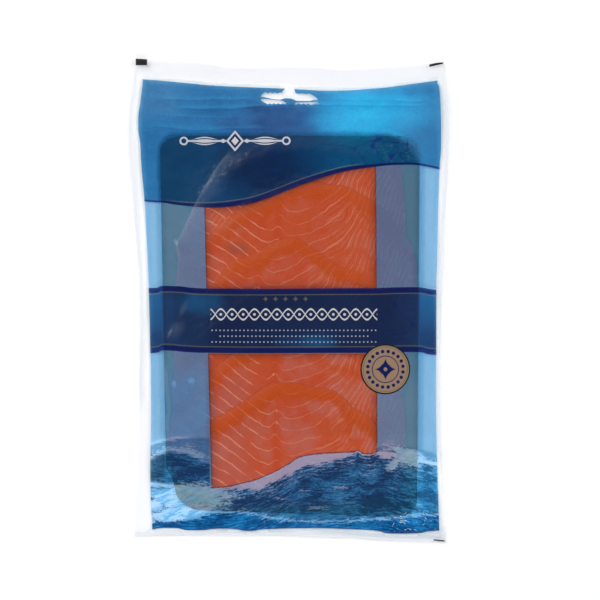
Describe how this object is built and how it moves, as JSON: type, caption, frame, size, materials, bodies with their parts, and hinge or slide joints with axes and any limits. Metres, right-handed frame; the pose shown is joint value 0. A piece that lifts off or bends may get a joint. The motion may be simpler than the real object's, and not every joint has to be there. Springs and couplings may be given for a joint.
{
  "type": "smoked salmon pack",
  "caption": "Flat vacuum pack of sliced smoked salmon on a gold board, sealed in printed film with a clear window and a hang slot.",
  "frame": {"origin": "middle of the pack's footprint, on its underside", "axes": "+X to the pack's right as its front is seen, +Y to the header with the hang slot, +Z out of the printed front"},
  "size_m": [0.178, 0.2676, 0.008],
  "materials": {
    "film": "thin glossy film with translucent blue ink",
    "clear_film": "thin clear glossy film",
    "board": "smooth gold coated board with a pale back",
    "salmon": "moist orange-pink fish with pale fat lines"
  },
  "bodies": {
    "root": {"pouch": "film"}
  },
  "joints": []
}
